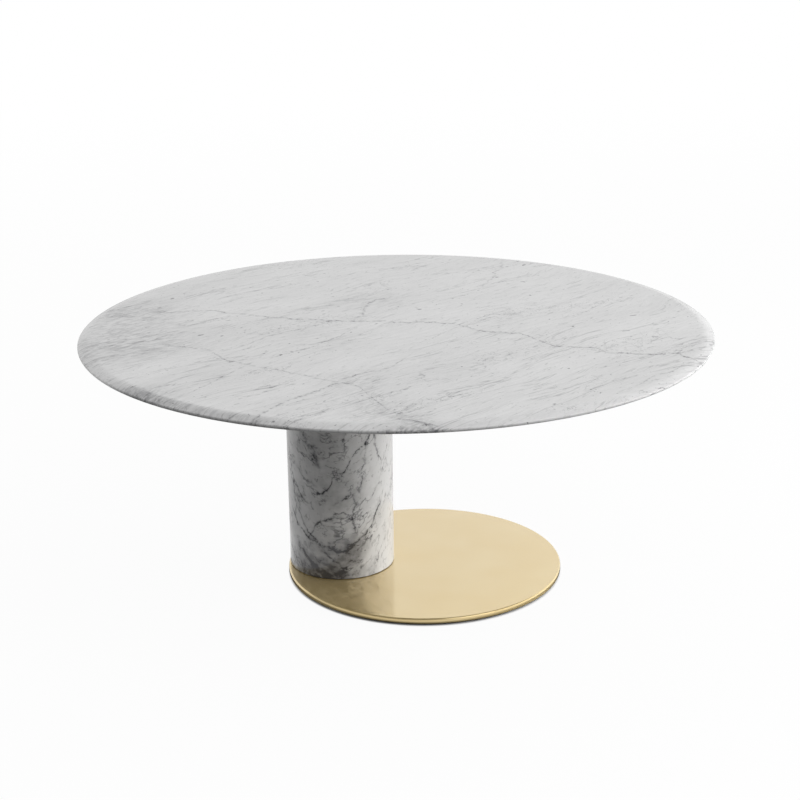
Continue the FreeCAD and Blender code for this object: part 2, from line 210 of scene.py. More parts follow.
marble_top = turned(
    "marble_top",
    (
        disc_run(flat_rim, top_high.z, FACE_RINGS),
        arc_run((flat_rim, top_high.z - EASE_RADIUS), EASE_RADIUS, 0, BEVEL_ANGLE, EASE_RINGS),
        run(ease_end, (bevel_end, bevel_foot), BEVEL_RINGS),
        arc_run((nose_rim, nose_middle), NOSE_RADIUS, BEVEL_ANGLE, QUARTER_TURN, NOSE_RINGS),
        bend((top_radius, nose_middle), (tuck_rim, nose_foot), (tuck_rim, nose_middle), NOSE_RINGS),
        run((tuck_rim, nose_foot), (under_rim, top_low.z), TAPER_RINGS),
        disc_run(under_rim, top_low.z, UNDER_RINGS)[::-1],
    ),
    [(0, 0)],
    TOP_SIDES,
)
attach(marble_top, "root")
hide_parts("table_top")

# %% [markdown]
# ## The marble column
# The column is a bored cylinder of stone. Its ends have a fine arris, the rounded corner that a mason rubs
# on so that the stone does not chip; a plain cylinder would have knife edges there. The profile is closed: up
# the outside, over the top, down the bore and back.

# %% Sizes of the column
ARRIS = 1 * MM
BORE_RADIUS = 49 * MM

column_low, column_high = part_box("column_shell")
column_radius = (column_high.x - column_low.x) / 2
column_x = (column_high.x + column_low.x) / 2
outside = column_radius - ARRIS
inside = BORE_RADIUS + ARRIS
foot = column_low.z
foot_side = foot + ARRIS
head = column_high.z
head_side = head - ARRIS
print("column across in mm:", round(2 * column_radius / MM, 1), "bore:", round(2 * BORE_RADIUS / MM, 1))

# %% Turn the marble column
COLUMN_SIDES = 240
ARRIS_RINGS = 6
BORE_ARRIS_RINGS = 4
SIDE_RINGS = 24
END_RINGS = 6

marble_column = turned(
    "marble_column",
    (
        bend((outside, foot), (column_radius, foot_side), (outside, foot_side), ARRIS_RINGS),
        run((column_radius, foot_side), (column_radius, head_side), SIDE_RINGS),
        bend((column_radius, head_side), (outside, head), (outside, head_side), ARRIS_RINGS),
        run((outside, head), (inside, head), END_RINGS),
        bend((inside, head), (BORE_RADIUS, head_side), (inside, head_side), BORE_ARRIS_RINGS),
        run((BORE_RADIUS, head_side), (BORE_RADIUS, foot_side), SIDE_RINGS),
        bend((BORE_RADIUS, foot_side), (inside, foot), (inside, foot_side), BORE_ARRIS_RINGS),
        run((inside, foot), (outside, foot), END_RINGS),
    ),
    [(column_x, 0)],
    COLUMN_SIDES,
    closed=True,
)
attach(marble_column, "root")
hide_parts("column_shell")

# %% [markdown]
# ## The brass base
# A brass sheet is spun over a steel plate and rolled down round its edge. The upper edge has a small radius,
# which draws the bright line round the rim, and the lip is rounded where it stops short of the floor. The
# profile goes over the outside and back along the inside, so the sheet has its real thickness.

# %% Sizes of the base
SHEET = 2 * MM
EDGE_RADIUS = 2.5 * MM
LIP_RADIUS = 1.8 * MM

base_low, base_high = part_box("base_cover")
base_radius = (base_high.y - base_low.y) / 2
base_x = base_high.x - base_radius
edge_rim = base_radius - EDGE_RADIUS
edge_foot = base_high.z - EDGE_RADIUS
lip_rim = base_radius - LIP_RADIUS
lip_head = base_low.z + LIP_RADIUS
pan_radius = base_radius - SHEET
pan_head = base_high.z - SHEET
print("base across in mm:", round(2 * base_radius / MM, 1), "gap below its lip:", round(base_low.z / MM, 1))

# %% Turn the brass base
BASE_SIDES = 360
EDGE_RINGS = 12
LIP_RINGS = 8
WALL_RINGS = 4

brass_base = turned(
    "brass_base",
    (
        disc_run(edge_rim, base_high.z, FACE_RINGS),
        bend((edge_rim, base_high.z), (base_radius, edge_foot), (edge_rim, edge_foot), EDGE_RINGS),
        run((base_radius, edge_foot), (base_radius, lip_head), WALL_RINGS),
        bend((base_radius, lip_head), (lip_rim, base_low.z), (lip_rim, lip_head), LIP_RINGS),
        [(lip_rim, base_low.z)],
        run((pan_radius, base_low.z), (pan_radius, pan_head), WALL_RINGS),
        disc_run(pan_radius, pan_head, UNDER_RINGS)[::-1],
    ),
    [(base_x, 0)],
    BASE_SIDES,
)
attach(brass_base, "root")
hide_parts("base_cover")

# %% [markdown]
# ## The felt pads
# Eight felt discs stick to the underside of the base, so that it does not scratch the floor. Punched felt has
# soft edges. The pads stand on a circle, half a step off the table's long axis, and the CAD box of all eight
# gives its size, so one call turns the same profile about eight axes.

# %% Sizes of the pads
PAD_COUNT = 8
PAD_RADIUS = 15 * MM
PAD_EDGE = 0.4 * MM

pads_low, pads_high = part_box("floor_pads")
half_step = math.pi / PAD_COUNT
pad_circle = ((pads_high.x - pads_low.x) / 2 - PAD_RADIUS) / math.cos(half_step)
pad_turn = half_step + 2 * half_step * np.arange(PAD_COUNT)
pad_rim = PAD_RADIUS - PAD_EDGE
pad_shoulder = pads_high.z - PAD_EDGE
pad_heel = pads_low.z + PAD_EDGE
print("circle of the pads in mm:", round(pad_circle / MM, 1))

# %% Turn the felt pads
PAD_SIDES = 48
PAD_FACE_RINGS = 6
PAD_EDGE_RINGS = 5

felt_pads = turned(
    "felt_pads",
    (
        disc_run(pad_rim, pads_high.z, PAD_FACE_RINGS),
        bend((pad_rim, pads_high.z), (PAD_RADIUS, pad_shoulder), (pad_rim, pad_shoulder), PAD_EDGE_RINGS),
        bend((PAD_RADIUS, pad_heel), (pad_rim, pads_low.z), (pad_rim, pad_heel), PAD_EDGE_RINGS),
        disc_run(pad_rim, pads_low.z, PAD_FACE_RINGS)[::-1],
    ),
    np.stack((base_x + pad_circle * np.cos(pad_turn), pad_circle * np.sin(pad_turn)), axis=1),
    PAD_SIDES,
)
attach(felt_pads, "root")
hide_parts("floor_pads")

# %% [markdown]
# ## Nodes for the finishes
# A material is a small network of nodes. One function adds any node: plain values go to its sockets, sockets
# and nodes are linked, and other settings are set on the node itself. Colours are written as sRGB hex values,
# as a colour picker shows them, and turned to the linear values that the renderer works with.

# %% Colours


def linear(hex_colour):
    """Linear red, green, blue and alpha of an sRGB hex colour: a channel is divided by 12.92 near black, and
    elsewhere 0.055 is added, the sum divided by 1.055 and raised to the power 2.4."""
    channels = np.array([int(hex_colour[i : i + 2], 16) for i in (1, 3, 5)]) / 255
    light = np.where(channels <= 0.04045, channels / 12.92, ((channels + 0.055) / 1.055) ** 2.4)
    return (*light.tolist(), 1.0)


print("linear value of mid grey:", round(linear("#808080")[0], 3))

# %% Nodes and materials


def add(tree, kind, *values, stops=(), points=(), **settings):
    """Adds a node. Values go to its sockets in order, and None leaves one alone. A setting goes to the socket
    of that name, or to the node. Stops are (place, hex colour) for a colour ramp, and points are (x, y) for a
    bent line."""
    node = tree.nodes.new("ShaderNode" + kind)
    sockets = dict(enumerate(values))
    for name, value in settings.items():
        socket = name.replace("_", " ")
        if socket in node.inputs:
            sockets[socket] = value
        else:
            setattr(node, name, value)
    for key, value in sockets.items():
        if isinstance(value, bpy.types.Node):
            value = value.outputs[0]
        if isinstance(value, bpy.types.NodeSocket):
            tree.links.new(value, node.inputs[key])
        elif value is not None:
            node.inputs[key].default_value = value
    for number, (place, colour) in enumerate(stops):
        ramp = node.color_ramp.elements
        stop = ramp[number] if number < len(ramp) else ramp.new(place)
        stop.position = place
        stop.color = linear(colour)
    for number, (x, y) in enumerate(points):
        node.mapping.use_clip = False
        line = node.mapping.curves[0].points
        point = line[number] if number < len(line) else line.new(x, y)
        point.location = (x, y)
        point.handle_type = "VECTOR"
        node.mapping.update()
    return node


def material(name, **sockets):
    """A new material, with values for sockets of its main shader: (material, tree, shader)."""
    made = bpy.data.materials.new(name)
    made.use_nodes = True
    shader = made.node_tree.nodes["Principled BSDF"]
    for socket, value in sockets.items():
        shader.inputs[socket.replace("_", " ")].default_value = value
    return made, made.node_tree, shader


def connect(tree, shader, **sockets):
    """Links nodes to sockets of a shader."""
    for socket, node in sockets.items():
        tree.links.new(node.outputs[0], shader.inputs[socket.replace("_", " ")])


print("plain materials that the CAD model came with:", len(bpy.data.materials))

# %% [markdown]
# ## Polished marble
# Marble is limestone that heat and pressure have turned to white crystals. Its grey comes from clay and
# graphite: thin beds that were folded into streaks, small flecks, soft clouds, and cracks that healed as
# veins. It is ground and polished, so it has a clear gloss over a soft white body.
# A picture of stone would show a seam at the edge. Here all of it is drawn in the block's own space, so that
# it runs over the edge and down the side as in real stone. Each pattern gives how dark the stone is, the
# patterns are added up, and one ramp turns the sum to colour.

# %% Values for both stones
MARBLE_IOR = 1.5
POLISHED = 0.16  # roughness of the faces that are seen
HONED = 0.5  # roughness of the underside, which is ground but not polished
SOFT = {"interpolation_type": "SMOOTHSTEP"}
STONE_COLOURS = ((0.0, "#D0D0D0"), (0.15, "#C2C2C2"), (0.5, "#949495"), (1.0, "#444447"))
print("colours from white stone to vein:", ", ".join(colour for place, colour in STONE_COLOURS))

# %% [markdown]
# ### Cracks
# The large cracks are what the eye knows a stone by. Cracks from a noise would fall anywhere, so these few
# are drawn one by one, each as a line through a few points. A noise pushes the line about, or it would look
# ruled.

# %% A crack through points
VEIN_FADE = 25 * MM  # the length over which an end of a crack fades out


def veins(tree, along, aside, wander, dark, lines):
    """Healed cracks, added to the dark. Each line is (strength, width in mm, points (along, aside) in mm).
    Its darkness is the strength times w * w / (d * d + w * w), where w is the width and d the distance from a
    bent line through the points that the wander pushes about. It fades out at both ends."""
    for strength, width, points in lines:
        points = [(x * MM, y * MM) for x, y in points]
        middle = (points[0][0] + points[-1][0]) / 2
        reach = (points[-1][0] - points[0][0]) / 2
        square = (width * MM) ** 2
        line = add(tree, "FloatCurve", None, along, points=points)
        path = add(tree, "Math", line, wander, operation="ADD")
        off = add(tree, "Math", aside, path, operation="SUBTRACT")
        spread = add(tree, "Math", off, off, square, operation="MULTIPLY_ADD")
        body = add(tree, "Math", strength * square, spread, operation="DIVIDE")
        beyond = add(tree, "Math", along, middle, operation="SUBTRACT")
        end = add(tree, "Math", beyond, operation="ABSOLUTE")
        fade = add(tree, "MapRange", end, reach, reach - min(VEIN_FADE, reach))
        dark = add(tree, "Math", body, fade, dark, operation="MULTIPLY_ADD")
    return dark


print("an end of a crack fades out over mm:", round(VEIN_FADE / MM))

# %% [markdown]
# ### The top
# On the top the beds run from the front left to the back right. One long crack crosses it from left to right,
# and shorter ones branch from it. These few are given as points in millimetres: (x, y) for the cracks that
# cross the top, and (y, x) for those that run away from the front.

# %% Cracks of the top
CRACKS_ACROSS = (
    (0.42, 1.6, ((-410, 60), (-308, 77), (-209, 35), (-111, 18), (-21, 14), (92, 6), (130, -36), (200, -55),
                 (247, -122), (312, -128), (325, -158), (390, -160), (426, -156), (475, -208))),
    (0.24, 1.6, ((-365, -115), (-277, -150), (-241, -206), (-172, -245), (-77, -301), (-32, -327), (11, -423),
                 (50, -462))),
    (0.36, 1.6, ((-188, -195), (-126, -141), (-107, -108), (-82, -69), (-52, 10))),
    (0.3, 1.5, ((-280, -395), (-215, -246), (-190, -196))),
    (0.22, 1.5, ((250, 25), (306, 80), (350, 160))),
    (0.24, 1.5, ((135, 60), (191, 60), (225, 110))),
    (0.26, 1.6, ((345, -330), (381, -271), (411, -242), (440, -198))),
    (0.26, 1.6, ((-475, -160), (-403, -64), (-350, -36))),
    (0.26, 1.6, ((-465, -152), (-375, -108), (-335, -45))),
    (0.28, 1.5, ((-70, -300), (8, -231), (40, -150))),
    (0.3, 1.5, ((-262, -168), (-235, -216), (-195, -192))),
    (0.26, 1.5, ((-246, -180), (-200, -116), (-188, -104))),
    (0.4, 1.6, ((20, -462), (39, -472), (70, -484), (92, -488))),
)
CRACKS_AWAY = (
    (0.34, 1.5, ((5, -68), (132, -54), (180, -15))),
    (0.34, 1.5, ((-500, -166), (-452, -157), (-388, -122), (-290, -50))),
    (0.26, 1.5, ((225, 130), (308, 155), (415, 172))),
    (0.3, 1.5, ((-312, 66), (-264, 54), (-250, 50))),
)
print("cracks placed on the top:", len(CRACKS_ACROSS) + len(CRACKS_AWAY))

# %% [markdown]
# Between the cracks there are smudges, where clay gathered, and a clump of small dark grains at the front
# edge. The two broad smudges at the left end are painted shade, which darkens that end of the top. At the
# front left the bevel is darkened with painted shade.

# %% Smudges of the top


def blots(tree, place, spots):
    """Soft round patches. A spot is (strength, radius in mm, centre in mm), and fades out at its radius."""
    dark = 0.0
    for strength, radius, centre in spots:
        centre = [side * MM for side in centre]
        away = add(tree, "VectorMath", place, centre, operation="DISTANCE").outputs["Value"]
        blot = add(tree, "MapRange", away, radius * MM, 0.0, 0.0, strength, **SOFT)
        dark = add(tree, "Math", blot, dark, operation="ADD")
    return dark


# smudges where clay gathered; the first two, broad ones at the left end, are painted shade
SMUDGES_AND_SHADE = (
    (0.4, 150, (-430, 40, 420)),
    (0.35, 150, (-440, -140, 420)),
    (0.1, 90, (-325, -375, 415)),
    (0.3, 90, (15, -430, 420)),
    (0.15, 140, (-330, -110, 420)),
    (0.15, 110, (-110, -100, 420)),
    (0.2, 90, (-40, -300, 420)),
    (0.15, 120, (-60, 150, 420)),
)
SPECKLES = (
    (0.25, 60, (-330, -370, 415)),
    (1.0, 15, (18, -499, 406)),
    (0.8, 17, (38, -498, 406)),
    (0.7, 17, (58, -496, 406)),
    (0.6, 17, (78, -493, 406)),
    (0.2, 45, (55, -478, 418)),
)
FRONT_LEFT = (-0.54, -0.84, 0)  # the way to the part of the bevel that is darkened with painted shade
BEVEL_SHADE_START = 450 * MM  # how far that way the painted shade starts to show
BEVEL_SHADE_FULL = 490 * MM
print("smudges and clumps on the top:", len(SMUDGES_AND_SHADE) + len(SPECKLES))

# %% [markdown]
# Most of the stone is noise that is stretched along its beds. Folds push some of it about, and the rest lies
# still. Sizes are in millimetres along, across and through the bed. Marble crystals are about a millimetre
# wide, and the finest noise is drawn about four times as coarse, so that it shows.

# %% Noises of the top


def bedded(tree, place, size, bed, detail=3.0, rough=0.55, shift=0.0, twist=0.0):
    """Noise in the block. One unit of it is the size in mm along, across and through the bed, a direction
    given as three angles. The shift moves it, so that two noises differ, and the twist crumples it."""
    scale = [side * MM for side in size]
    where = add(tree, "Mapping", place, (shift,) * 3, bed, scale, vector_type="TEXTURE")
    return add(tree, "TexNoise", where, Scale=1.0, Detail=detail, Roughness=rough, Distortion=twist)


def noises(tree, place, bed, looks):
    """Several noises by name, along one bed unless a look has its own."""
    return {name: bedded(tree, place, **{"bed": bed, **look}) for name, look in looks.items()}


TOP_BED = (0, 0, math.radians(45))
TOP_BED_CROSS = (0, 0, math.radians(53))
FOLD = {"size": (260, 260, 260), "bed": TOP_BED, "detail": 1.0}
FOLD_REACH = (70 * MM, 70 * MM, 0)  # how far the folds push the beds
FOLDED_NOISES = {
    "clouds": {"size": (220, 90, 100), "detail": 4.0},
    "streaks": {"size": (30, 7, 12), "detail": 2.0, "twist": 0.6},
    "threads": {"size": (420, 44, 90), "detail": 4.0, "twist": 0.3},
    "dashes": {"size": (110, 16, 50), "detail": 2.0, "shift": 0.3, "twist": 0.8, "bed": TOP_BED_CROSS},
    "broad": {"size": (180, 70, 60), "detail": 2.0, "shift": 0.7},
    "narrow": {"size": (46, 14, 40), "detail": 2.0, "shift": 1.1},
    "flecks": {"size": (16, 5, 8)},
    "marks": {"size": (18, 10, 12), "detail": 1.0, "shift": 0.9, "twist": 0.5},
}
STILL_NOISES = {
    "specks": {"size": (6, 4, 5), "detail": 2.0, "shift": 0.8},
    "crystals": {"size": (5, 3, 4), "detail": 2.0, "rough": 0.7, "shift": 0.6},
    "crackle": {"size": (20, 20, 20), "rough": 0.6},
    "knots": {"size": (9, 9, 9), "shift": 0.5},
    "wander": {"size": (40, 40, 40), "detail": 6.0, "rough": 0.75, "shift": 0.2},
}
TOP_WANDER = 22 * MM  # how far a crack strays from its points
print("noises in the top:", len(FOLDED_NOISES) + len(STILL_NOISES))

# %% [markdown]
# Thin lines come from the places where a noise passes its middle value. They and the other patterns are laid
# over each other, each with a weight that says how much it darkens the stone. A layer that is the same all
# over looks printed, so other noises break the layers up.

# %% Layers of patterns
MIDDLE = 0.5  # the middle value of a noise


def hairlines(tree, noise, width):
    """Thin lines where a noise passes its middle value: full there, and nothing a width away."""
    off = add(tree, "Math", noise, MIDDLE, operation="SUBTRACT")
    away = add(tree, "Math", off, operation="ABSOLUTE")
    return add(tree, "MapRange", away, width, 0.0, **SOFT)


def layered(tree, layers):
    """The sum of the layers, each one a weight times the product of its patterns."""
    dark = 0.0
    for weight, *patterns in layers:
        for pattern in patterns[:-1]:
            weight = add(tree, "Math", pattern, weight, operation="MULTIPLY")
        dark = add(tree, "Math", patterns[-1], weight, dark, operation="MULTIPLY_ADD")
    return dark


def bed_layers(tree, noise, tones, lines, patches):
    """Layers from noises by name. A tone is (weight, noise). A line is (weight, noise that says where, the
    values between which it starts to show, noise that draws it, width). A patch is (weight, noise, the values
    between which it starts to show)."""
    layers = [(weight, noise[name]) for weight, name in tones]
    for weight, where, low, high, name, width in lines:
        shown = add(tree, "MapRange", noise[where], low, high, **SOFT)
        layers.append((weight, shown, hairlines(tree, noise[name], width)))
    for weight, name, low, high in patches:
        layers.append((weight, add(tree, "MapRange", noise[name], low, high, **SOFT)))
    return layers


print("thin lines follow the noise value:", MIDDLE)

# %% Weights of the top
TOP_TONES = ((0.26, "clouds"), (0.22, "streaks"), (0.2, "crystals"))
TOP_LINES = (
    (0.32, "broad", 0.36, 0.56, "threads", 0.01),
    (0.2, "narrow", 0.44, 0.62, "dashes", 0.03),
    (0.3, "broad", 0.56, 0.66, "crackle", 0.02),
)
TOP_PATCHES = ((0.4, "flecks", 0.66, 0.76), (0.6, "specks", 0.68, 0.75), (0.55, "marks", 0.72, 0.78))
BEVEL_SHADE_WEIGHT = 0.27
# a noise that goes from the first value to the second takes its layer from the third to the fourth
BEVEL_SHADE_BREAKUP = (0.38, 0.64, 0.5, 1.0)
SMUDGE_AND_SHADE_BREAKUP = (0.38, 0.64, 0.2, 1.0)
SPECKLE_BREAKUP = (0.35, 0.6, 0.15, 1.0)
TOP_KNOTS = (0.35, 0.65, 0.1, 1.9)
TOP_WHITE = 0.265  # the sum at which the stone is at its whitest
print("heaviest tone of the top:", max(TOP_TONES))

# %% Marble of the top
top_marble, tree, shader = material("polished_white_marble", IOR=MARBLE_IOR)
place = add(tree, "TexCoord").outputs["Object"]
x, y, z = add(tree, "SeparateXYZ", place).outputs
fold = bedded(tree, place, **FOLD).outputs["Color"]
folded = add(tree, "VectorMath", fold, FOLD_REACH, place, operation="MULTIPLY_ADD")
noise = noises(tree, folded, TOP_BED, FOLDED_NOISES) | noises(tree, place, TOP_BED, STILL_NOISES)
wander = add(tree, "MapRange", noise["wander"], 0.0, 1.0, -TOP_WANDER, TOP_WANDER)
cracks = veins(tree, x, y, wander, 0.0, CRACKS_ACROSS)
cracks = veins(tree, y, x, wander, cracks, CRACKS_AWAY)
knots = add(tree, "MapRange", noise["knots"], *TOP_KNOTS)
smudge_and_shade_breakup = add(tree, "MapRange", noise["flecks"], *SMUDGE_AND_SHADE_BREAKUP, **SOFT)
speckle_breakup = add(tree, "MapRange", noise["specks"], *SPECKLE_BREAKUP, **SOFT)
bevel_shade_breakup = add(tree, "MapRange", noise["flecks"], *BEVEL_SHADE_BREAKUP, **SOFT)
forward = add(tree, "VectorMath", place, FRONT_LEFT, operation="DOT_PRODUCT").outputs["Value"]
bevel_shade = add(tree, "MapRange", forward, BEVEL_SHADE_START, BEVEL_SHADE_FULL, **SOFT)
level_place = add(tree, "VectorMath", place, (1, 1, 0), operation="MULTIPLY")
from_axis = add(tree, "VectorMath", level_place, operation="LENGTH").outputs["Value"]
edge = add(tree, "MapRange", from_axis, flat_rim, bevel_rim, **SOFT)
layers = bed_layers(tree, noise, TOP_TONES, TOP_LINES, TOP_PATCHES)
# painted shade on the bevel at the front left
layers.append((BEVEL_SHADE_WEIGHT, bevel_shade_breakup, bevel_shade, edge))
layers.append((1.0, smudge_and_shade_breakup, blots(tree, place, SMUDGES_AND_SHADE)))
layers.append((1.0, speckle_breakup, blots(tree, place, SPECKLES)))
layers.append((1.0, knots, cracks))
dark = add(tree, "Math", layered(tree, layers), TOP_WHITE, operation="SUBTRACT")
colour = add(tree, "ValToRGB", dark, stops=STONE_COLOURS)
gloss = add(tree, "MapRange", z, nose_foot, nose_middle, HONED, POLISHED)
connect(tree, shader, Base_Color=colour, Roughness=gloss)
marble_top.data.materials.append(top_marble)
print("nodes in the top's marble:", len(tree.nodes))

# %% [markdown]
# ### The column
# The column was cut across steep beds. A flat bed that a cylinder cuts shows as a curve like a U, and so the
# veins sweep down from both sides and meet low on the front, and arch over at the back. They are placed by
# the arc from the front and by the height, in millimetres: (arc, height) for those that go round, and
# (height, arc) for those that climb.

# %% Cracks of the column
CRACKS_ROUND = (
    (0.7, 2.0, ((-110, 150), (-96, 125), (-72, 95), (-45, 78), (-26, 70), (-1, 63), (19, 64), (33, 79),
                (49, 87), (66, 113), (83, 145), (95, 175))),
    (0.9, 1.6, ((-2, 180), (12, 193), (19, 207), (31, 228), (55, 247), (70, 275))),
    (0.8, 1.6, ((-56, 148), (-42, 154), (-27, 162), (-10, 169), (-7, 180), (3, 201), (8, 206))),
    (0.5, 1.6, ((-84, 150), (-55, 95), (-20, 68))),
    (0.9, 1.8, ((-98, 192), (-82, 169), (-61, 147), (-42, 136))),
    (0.7, 1.8, ((-56, 74), (-42, 92), (-36, 106), (-21, 115), (14, 124))),
    (0.6, 3.0, ((-86, 78), (-69, 62), (-57, 49), (-31, 26), (-10, 10))),
    (0.6, 1.8, ((-36, 70), (-19, 58), (-6, 47), (10, 36))),
    (0.6, 1.6, ((-80, 206), (-60, 189), (-49, 179), (-30, 172))),
    (0.5, 1.6, ((-10, 142), (10, 150), (36, 176), (50, 186))),
    # at the back
    (0.7, 1.8, ((128, 96), (140, 118), (158, 160), (182, 188), (204, 236), (226, 250), (256, 284))),
    (0.6, 1.6, ((150, 36), (166, 74), (184, 92), (202, 138), (224, 150), (262, 178))),
    (0.5, 1.6, ((196, 40), (214, 62), (236, 92), (262, 98))),
    (0.6, 1.6, ((120, 168), (142, 204), (164, 240), (182, 278))),
    (0.6, 1.8, ((-258, 262), (-232, 250), (-208, 214), (-188, 196), (-166, 150), (-140, 112), (-126, 84))),
    (0.7, 1.6, ((-262, 166), (-230, 148), (-206, 122), (-180, 84), (-158, 44))),
    (0.5, 1.6, ((-250, 330), (-222, 322), (-196, 286), (-168, 246), (-138, 190))),
)
CRACKS_UP = (
    (0.7, 1.6, ((80, 36), (100, 32), (122, 27), (139, 33), (165, 26))),
    (0.5, 1.6, ((185, 90), (207, 82), (226, 75), (245, 70), (280, 62))),
    (0.5, 1.6, ((150, 38), (176, 42), (197, 44), (255, 57), (280, 64))),
    (0.6, 1.6, ((225, 12), (247, 15), (261, 17), (290, 26))),
    (0.35, 4.0, ((190, -22), (213, -30), (229, -37), (256, -56), (290, -80))),
    (0.5, 1.6, ((100, -82), (140, -78), (190, -92), (230, -100))),
    # at the back
    (0.5, 1.6, ((60, 210), (96, 200), (128, 214), (168, 206))),
    (0.5, 1.6, ((120, -214), (160, -222), (196, -206), (240, -212))),
    (0.6, 1.6, ((180, 236), (214, 228), (250, 240), (290, 226))),
)
# in front: partly grey clouds in the stone, partly painted shade that darkens the front and the foot
COLUMN_SMUDGES_AND_SHADE = (
    (0.5, 90, (-125, -80, 235)),
    (0.8, 45, (-68, -84, 72)),
    (0.4, 70, (-105, -86, 110)),
    (1.7, 100, (-110, -86, 15)),
    (0.5, 60, (-90, -86, 165)),
    (0.6, 75, (-175, -50, 25)),
    # at the back
    (0.8, 70, (-140, 70, 120)),
    (0.6, 60, (-60, 80, 230)),
    (0.7, 60, (-50, 75, 60)),
)
print("cracks placed on the column:", len(CRACKS_ROUND) + len(CRACKS_UP))

# %% Noises and weights of the column
COLUMN_BED = (math.radians(65), 0, 0)
COLUMN_NOISES = {
    "clouds": {"size": (70, 70, 30), "detail": 4.0, "rough": 0.6},
    "smoke": {"size": (22, 22, 11), "detail": 4.0, "rough": 0.65},
    "long": {"size": (90, 80, 22), "detail": 4.0, "rough": 0.6},
    "short": {"size": (36, 36, 12), "detail": 4.0, "rough": 0.6, "shift": 0.6},
    "broad": {"size": (50, 50, 30), "detail": 2.0, "shift": 0.4},
    "narrow": {"size": (18, 18, 10), "shift": 0.9},
    "flecks": {"size": (8, 8, 5)},
    "knots": {"size": (10, 10, 10)},
    "wander": {"size": (18, 18, 18), "detail": 5.0, "rough": 0.65},
}
COLUMN_WANDER = 12 * MM
COLUMN_TONES = ((0.55, "clouds"), (0.4, "smoke"))
COLUMN_LINES = ((0.45, "broad", 0.42, 0.58, "long", 0.022), (0.35, "narrow", 0.45, 0.6, "short", 0.03))
COLUMN_PATCHES = ((0.45, "flecks", 0.66, 0.76),)
COLUMN_SMUDGE_AND_SHADE_WEIGHT = 0.7
COLUMN_SMUDGE_AND_SHADE_BREAKUP = (0.3, 0.7, 0.5, 0.9)
COLUMN_KNOTS = (0.32, 0.68, 0.1, 1.7)
COLUMN_WHITE = 0.48
print("noises in the column:", len(COLUMN_NOISES))

# %% Marble of the column
column_marble, tree, shader = material("polished_grey_marble", IOR=MARBLE_IOR, Roughness=POLISHED)
place = add(tree, "TexCoord").outputs["Object"]
from_column = add(tree, "VectorMath", place, (column_x, 0, 0), operation="SUBTRACT")
x, y, z = add(tree, "SeparateXYZ", from_column).outputs
forward = add(tree, "Math", y, -1.0, operation="MULTIPLY")
angle = add(tree, "Math", x, forward, operation="ARCTAN2")
arc = add(tree, "Math", angle, column_radius, operation="MULTIPLY")
noise = noises(tree, place, COLUMN_BED, COLUMN_NOISES)
wander = add(tree, "MapRange", noise["wander"], 0.0, 1.0, -COLUMN_WANDER, COLUMN_WANDER)
cracks = veins(tree, arc, z, wander, 0.0, CRACKS_ROUND)
cracks = veins(tree, z, arc, wander, cracks, CRACKS_UP)
knots = add(tree, "MapRange", noise["knots"], *COLUMN_KNOTS)
smudge_and_shade_breakup = add(tree, "MapRange", noise["narrow"], *COLUMN_SMUDGE_AND_SHADE_BREAKUP, **SOFT)
layers = bed_layers(tree, noise, COLUMN_TONES, COLUMN_LINES, COLUMN_PATCHES)
# grey clouds, and painted shade on the front and foot of the column
layers.append((COLUMN_SMUDGE_AND_SHADE_WEIGHT, smudge_and_shade_breakup, blots(tree, place, COLUMN_SMUDGES_AND_SHADE)))
layers.append((1.0, knots, cracks))
dark = add(tree, "Math", layered(tree, layers), COLUMN_WHITE, operation="SUBTRACT")
connect(tree, shader, Base_Color=add(tree, "ValToRGB", dark, stops=STONE_COLOURS))
marble_column.data.materials.append(column_marble)
print("nodes in the column's marble:", len(tree.nodes))

# %% [markdown]
# ## Polished brass
# The sheet is polished to a mirror and sealed with clear lacquer. So it shows two layers: a pale gold
# reflection from the metal, and a weaker, uncoloured one from the lacquer. A bare metal would have a metallic
# value of 1. The lacquer is a little cloudy and scatters some light, so the value is lower: the brass looks
# paler, and what stands on it is mirrored more faintly. The polish is never quite even, and a broad noise
# moves both the colour and the sharpness a little, as a breath does on a mirror.

# %% Polished brass
BRASS_METALLIC = 0.55
LACQUER_ROUGHNESS = 0.03
LACQUER_IOR = 1.5
BREATH = 90 * MM
BRASS_COLOURS = ((0.0, "#E6CA8A"), (1.0, "#EED7A0"))
BRASS_ROUGHNESS = (0.05, 0.08)

brass, tree, shader = material(
    "lacquered_polished_brass",
    Metallic=BRASS_METALLIC,
    Coat_Weight=1.0,
    Coat_Roughness=LACQUER_ROUGHNESS,
    Coat_IOR=LACQUER_IOR,
)
place = add(tree, "TexCoord").outputs["Object"]
breath = add(tree, "TexNoise", place, Scale=1 / BREATH, Detail=1.0)
gold = add(tree, "ValToRGB", breath, stops=BRASS_COLOURS)
haze = add(tree, "MapRange", breath, 0.0, 1.0, *BRASS_ROUGHNESS)
connect(tree, shader, Base_Color=gold, Roughness=haze)
brass_base.data.materials.append(brass)
print("polished brass on", brass_base.name)

# %% [markdown]
# ## Coatings, fittings and felt
# The other pieces are hidden or seen only from below. Each one has an even finish with a fine grain, so one
# recipe makes them all: a noise moves the colour between two near values, moves the roughness, and raises the
# surface. Grains that are finer than a millimetre are drawn about twice as coarse, or they would not show.

# %% A finish with a fine grain
GRAIN_LOW = 0.3  # a noise seldom goes below this value
GRAIN_HIGH = 0.7  # nor above this one


